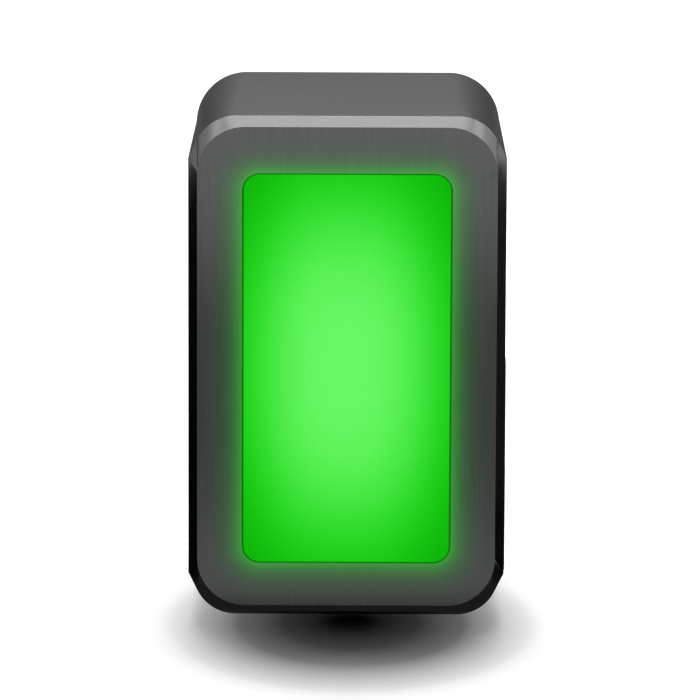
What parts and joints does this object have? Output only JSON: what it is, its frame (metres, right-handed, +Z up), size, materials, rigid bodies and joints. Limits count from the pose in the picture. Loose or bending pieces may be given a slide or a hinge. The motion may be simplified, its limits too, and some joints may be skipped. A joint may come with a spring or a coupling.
{
  "type": "wall battery unit",
  "caption": "Upright rounded battery case with a large green back-lit window in a chamfered brushed front cover, folding side handles, side controls, rear heat sink and wall bracket.",
  "frame": {"origin": "middle of the footprint, front cover to wall bracket, on the surface under the feet", "axes": "+Z up, the window faces -Y, +X to the right seen from the front"},
  "size_m": [0.3022, 0.2978, 0.49],
  "materials": {
    "plate": "vertically brushed, dark anodised",
    "shell": "satin dark grey",
    "window": "diffusing, lit from behind",
    "seal": "matt",
    "black_plastic": "fine moulded grain",
    "grey_plastic": "fine moulded grain",
    "white_plastic": "smooth",
    "red_plastic": "smooth",
    "zinc": "zinc plated",
    "steel": "bright",
    "fin_aluminium": "extruded, dark anodised",
    "cell": "blue sleeve over an aluminium can",
    "board": "solder mask",
    "brass": "bare"
  },
  "bodies": {
    "case": {"body_shell": "shell", "button_housing": "steel", "button_spring": "steel", "cell_row_1": "cell", "cell_row_2": "cell", "cell_row_3": "cell", "cell_tray_1": "zinc", "cell_tray_2": "zinc", "cell_tray_3": "zinc", "chassis_plate": "zinc", "contact_board_1": "grey_plastic", "contact_board_2": "grey_plastic", "contact_board_3": "grey_plastic", "contactor": "black_plastic", "control_panel": "black_plastic", "current_shunt": "brass", "data_port": "grey_plastic", "earth_stud": "brass", "flap_hinge_pin": "steel", "foot_front_left": "seal", "foot_front_right": "seal", "foot_rear_left": "seal", "foot_rear_right": "seal", "front_frame": "zinc", "handle_recess_left": "black_plastic", "handle_recess_right": "black_plastic", "hang_rail": "zinc", "heat_sink": "fin_aluminium", "isolator_body": "grey_plastic", "led_board": "white_plastic", "light_tray": "white_plastic", "main_fuse": "white_plastic", "management_board": "board", "rear_cover": "shell", "rear_seal": "seal", "socket_minus": "black_plastic", "socket_plus": "red_plastic", "vent_plug": "black_plastic", "wall_spacer": "black_plastic", "weather_seal": "seal"},
    "front_cover": {"front_bezel": "plate", "light_window": "window", "window_seal": "seal", "window_clamp_frame": "black_plastic", "cover_stud_upper_left": "black_plastic", "cover_stud_upper_right": "black_plastic", "cover_stud_lower_left": "black_plastic", "cover_stud_lower_right": "black_plastic"},
    "power_button": {"power_button": "steel"},
    "isolator_knob": {"isolator_knob": "red_plastic"},
    "terminal_cover": {"terminal_cover": "grey_plastic"},
    "carry_handle_left": {"carry_handle_left": "steel"},
    "carry_handle_right": {"carry_handle_right": "steel"},
    "wall_bracket": {"wall_bracket": "zinc"}
  },
  "joints": [
    {"name": "front_cover_pull", "type": "slide", "parent": "case", "child": "front_cover", "axis": [0, -1, 0], "range_m": [0, 0.06]},
    {"name": "power_button_press", "type": "slide", "parent": "case", "child": "power_button", "axis": [-1, -0.0093, 0], "range_m": [0, 0.0025], "stiffness_N_per_m": 700, "springref_m": -0.002, "deforming": ["button_spring"]},
    {"name": "isolator_turn", "type": "hinge", "parent": "case", "child": "isolator_knob", "pos_m": [0.13759, -0.09701, 0.214], "axis": [1, 0.0093, 0], "range_deg": [0, 90]},
    {"name": "terminal_cover_hinge", "type": "hinge", "parent": "case", "child": "terminal_cover", "pos_m": [0.14539, -0.09694, 0.15], "axis": [0.0093, -1, 0], "range_deg": [0, 100]},
    {"name": "carry_handle_left_hinge", "type": "hinge", "parent": "case", "child": "carry_handle_left", "pos_m": [-0.14168, 0.00103, 0.37], "axis": [0.0093, 1, 0], "range_deg": [0, 90]},
    {"name": "carry_handle_right_hinge", "type": "hinge", "parent": "case", "child": "carry_handle_right", "pos_m": [0.14168, 0.00103, 0.37], "axis": [0.0093, -1, 0], "range_deg": [0, 90]},
    {"name": "wall_bracket_lift_off", "type": "slide", "parent": "case", "child": "wall_bracket", "axis": [0, 0, -1], "range_m": [0, 0.03]}
  ]
}
